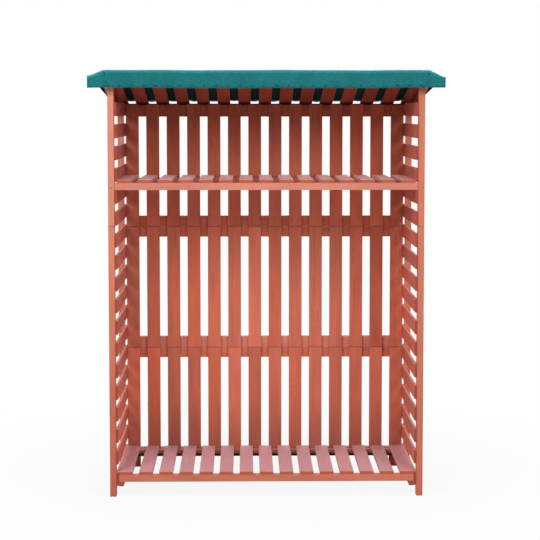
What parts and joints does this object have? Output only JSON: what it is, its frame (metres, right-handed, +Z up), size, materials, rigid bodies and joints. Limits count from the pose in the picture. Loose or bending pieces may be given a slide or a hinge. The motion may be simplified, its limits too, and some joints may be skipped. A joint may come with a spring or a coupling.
{
  "type": "slatted log store",
  "caption": "Tall open-fronted timber log store with slatted sides, back, floor and upper shelf, and a sloping slatted roof under a stapled fabric cover.",
  "frame": {"origin": "on the ground under the middle of the whole outline", "axes": "+Z up, the open front faces -Y, +X to the viewer's right when facing the front"},
  "size_m": [1.4146, 0.6112, 1.7062],
  "materials": {
    "frame_timber": "red-brown stained sawn softwood",
    "slat_timber": "red-brown stained planed softwood slats",
    "cover_fabric": "green coated woven polyester"
  },
  "bodies": {
    "root": {"left_front_post_lower": "frame_timber", "left_front_post_upper": "frame_timber", "left_rear_post_lower": "frame_timber", "left_rear_post_upper": "frame_timber", "left_side_slats_lower": "slat_timber", "left_side_slats_upper": "slat_timber", "left_floor_bearer": "frame_timber", "left_shelf_bearer": "frame_timber", "right_front_post_lower": "frame_timber", "right_front_post_upper": "frame_timber", "right_rear_post_lower": "frame_timber", "right_rear_post_upper": "frame_timber", "right_side_slats_lower": "slat_timber", "right_side_slats_upper": "slat_timber", "right_floor_bearer": "frame_timber", "right_shelf_bearer": "frame_timber", "back_slats_lower": "slat_timber", "back_rail_lower_bottom": "frame_timber", "back_rail_lower_top": "frame_timber", "back_slats_middle": "slat_timber", "back_rail_middle_bottom": "frame_timber", "back_rail_middle_top": "frame_timber", "back_slats_upper": "slat_timber", "back_rail_upper_bottom": "frame_timber", "back_rail_upper_top": "frame_timber", "floor_slats": "slat_timber", "floor_front_rail": "frame_timber", "floor_rear_rail": "frame_timber", "shelf_slats": "slat_timber", "shelf_front_rail": "frame_timber", "shelf_rear_rail": "frame_timber", "roof_slats": "slat_timber", "roof_front_batten": "frame_timber", "roof_rear_batten": "frame_timber", "roof_fascia": "frame_timber", "roof_cover": "cover_fabric"}
  },
  "joints": []
}
